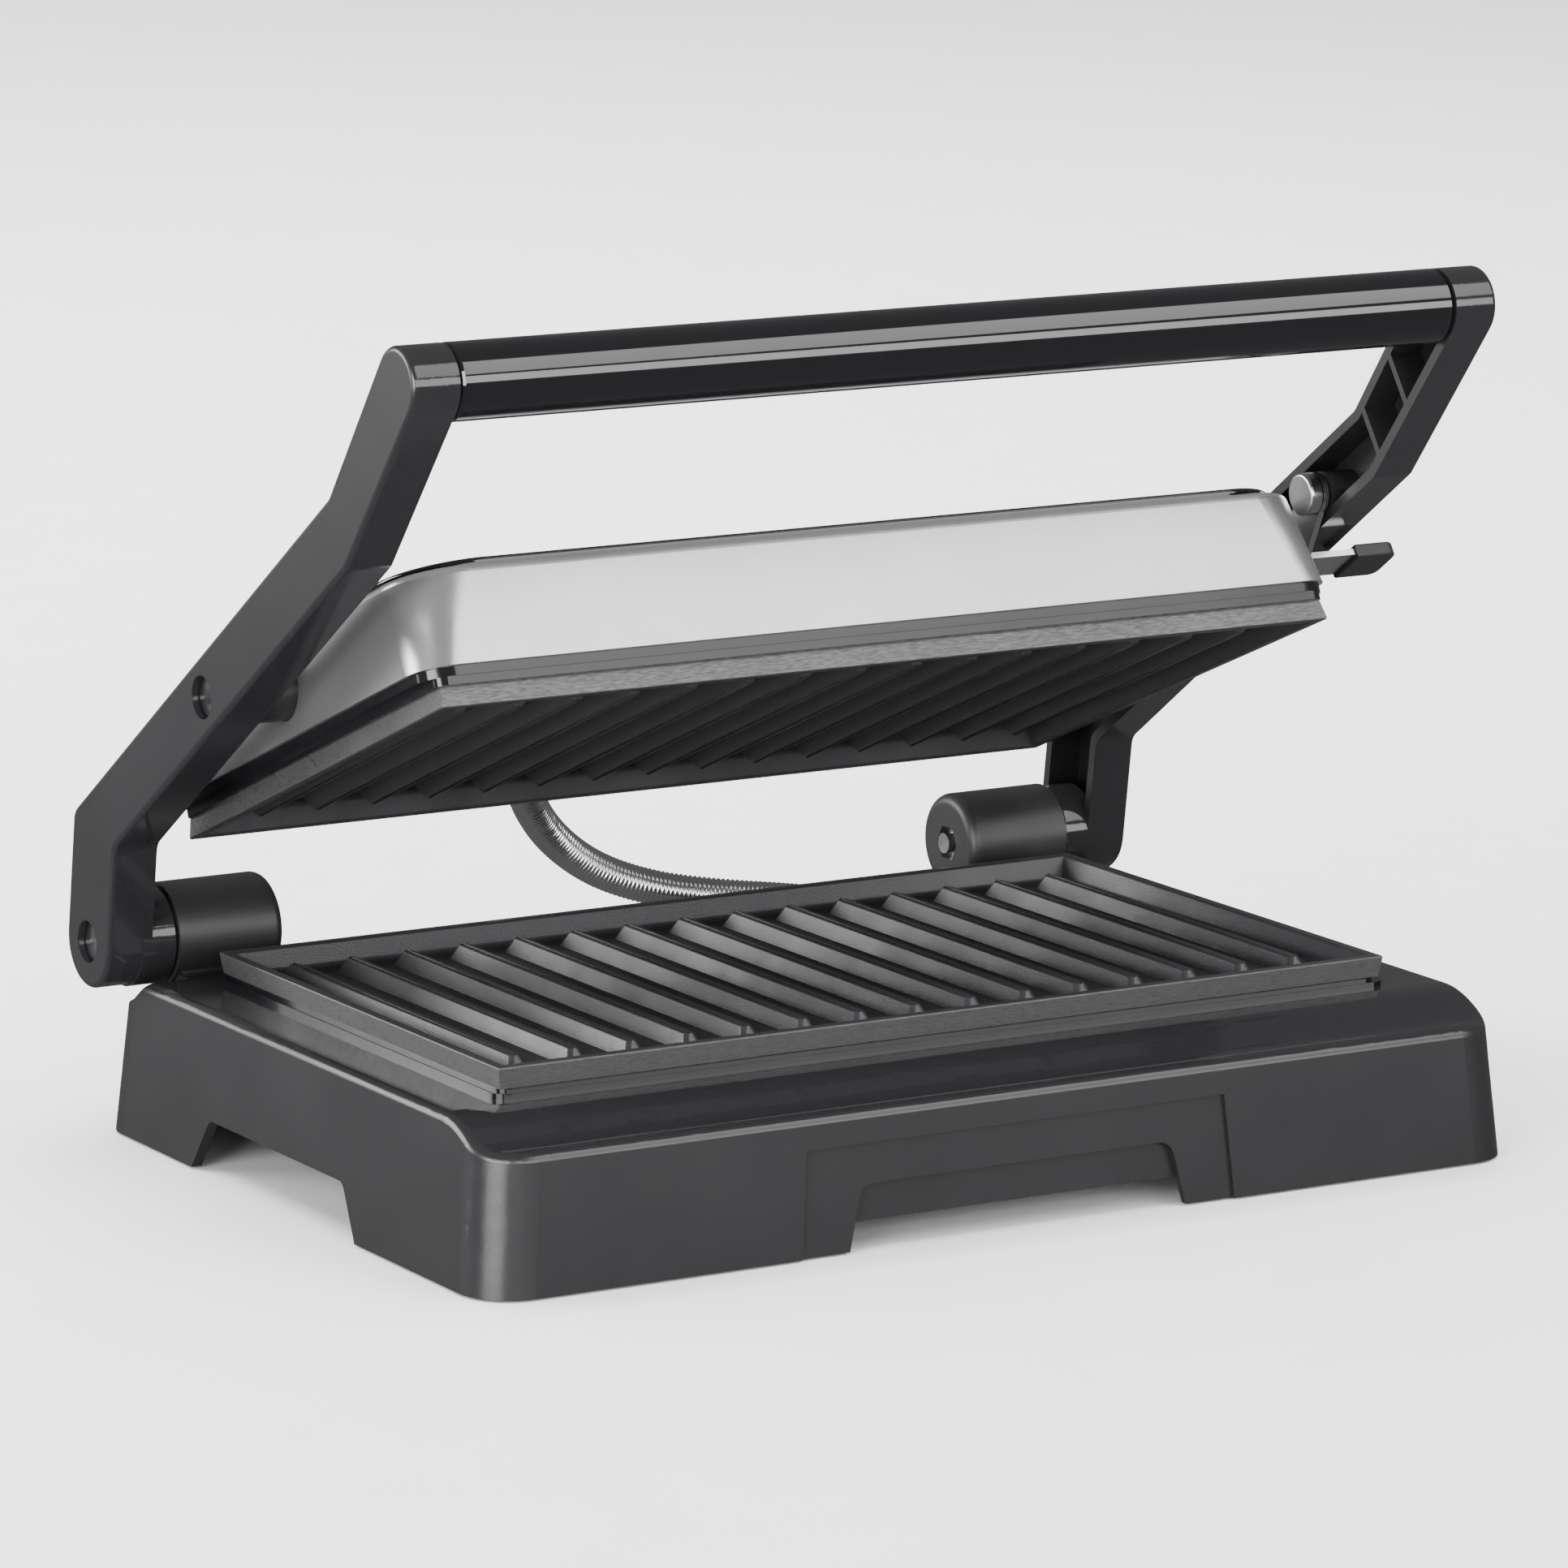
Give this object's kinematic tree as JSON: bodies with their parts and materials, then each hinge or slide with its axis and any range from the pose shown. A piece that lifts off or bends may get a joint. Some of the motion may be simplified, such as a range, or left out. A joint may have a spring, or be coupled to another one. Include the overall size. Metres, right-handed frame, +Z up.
{
  "type": "panini press",
  "caption": "Contact grill with two ribbed plates, a floating silver lid on black side arms with a bar handle, a moulded base, a lock lever and a flexible metal conduit.",
  "frame": {"origin": "on the surface that it stands on, midway across the whole with the lever grip, which is 6.15 mm to the right of the middle of the plates, and midway between the front of the base and the back of the hinge barrels", "axes": "+Z up, +Y to the back where the hinges are, +X to the right of a person who faces the front"},
  "size_m": [0.2888, 0.2516, 0.2013],
  "materials": {
    "base_black": "glossy black moulding, satin on its walls",
    "arm_black": "satin black moulding with polished edges",
    "handle_black": "glossy black moulding",
    "panel_black": "high gloss black moulding",
    "ring_black": "glossy black heat-proof moulding",
    "satin_black": "satin black moulding",
    "nonstick": "dark non-stick coating with a fine grain",
    "cover_silver": "satin silver with a fine metallic grain",
    "conduit_steel": "bright interlocked steel strip",
    "lever_steel": "bright rolled steel strip",
    "bright_screw": "bright plated steel",
    "hidden_steel": "plain zinc-plated steel",
    "element_steel": "heat-tinted steel sheath",
    "ceramic_white": "pale heat-proof moulding",
    "wire_white": "pale silicone insulation",
    "foot_rubber": "matt black rubber",
    "lens": "dark tinted lens",
    "lamp_glass": "small neon lamp"
  },
  "bodies": {
    "base": {"base_housing": "base_black", "base_bottom_cover": "satin_black", "rubber_feet": "foot_rubber", "bottom_cover_screws": "hidden_steel", "hinge_barrel_right": "satin_black", "hinge_barrel_left": "satin_black", "hinge_clamp_plates": "hidden_steel", "hinge_bracket_screws": "hidden_steel", "hinge_screws": "bright_screw", "hinge_nuts": "bright_screw", "lower_plate_ring": "ring_black", "lower_grill_plate": "nonstick", "lower_heating_element": "element_steel", "lower_element_straps": "hidden_steel", "lower_heat_shield": "hidden_steel", "lower_plate_screws": "hidden_steel", "lower_thermostat": "ceramic_white", "thermal_fuse": "wire_white", "terminal_block": "ceramic_white", "base_wires": "wire_white", "mains_inlet_gland": "satin_black", "base_conduit_gland": "conduit_steel", "wire_conduit": "conduit_steel"},
    "arms": {"arm_right": "arm_black", "arm_left": "arm_black", "handle_tube": "handle_black", "handle_core": "hidden_steel", "lever_pin": "bright_screw"},
    "upper": {"upper_cover": "cover_silver", "upper_top_panel": "panel_black", "upper_housing_frame": "ring_black", "upper_grill_plate": "nonstick", "upper_heating_element": "element_steel", "upper_element_straps": "hidden_steel", "upper_heat_shield": "hidden_steel", "upper_plate_screws": "hidden_steel", "upper_thermostat": "ceramic_white", "indicator_lenses": "lens", "indicator_lamps": "lamp_glass", "pivot_boss_right": "satin_black", "pivot_boss_left": "satin_black", "pivot_screws": "bright_screw", "upper_conduit_gland": "conduit_steel"},
    "lever": {"lock_lever": "lever_steel", "lever_grip": "satin_black"}
  },
  "joints": [
    {"name": "lid_hinge", "type": "hinge", "parent": "base", "child": "arms", "pos_m": [-0.00615, 0.08585, 0.0449], "axis": [-1, 0, 0], "range_deg": [-35, 45], "deforming": ["wire_conduit"]},
    {"name": "plate_float", "type": "hinge", "parent": "arms", "child": "upper", "pos_m": [-0.00615, 0.02518, 0.11168], "axis": [-1, 0, 0], "range_deg": [-17, 13]},
    {"name": "lever_swing", "type": "hinge", "parent": "arms", "child": "lever", "pos_m": [-0.00615, -0.02313, 0.1438], "axis": [-1, 0, 0], "range_deg": [0, 50]}
  ],
  "couplings": [
    {"joint": "plate_float", "follows": "lid_hinge", "ratio": -0.36286}
  ]
}
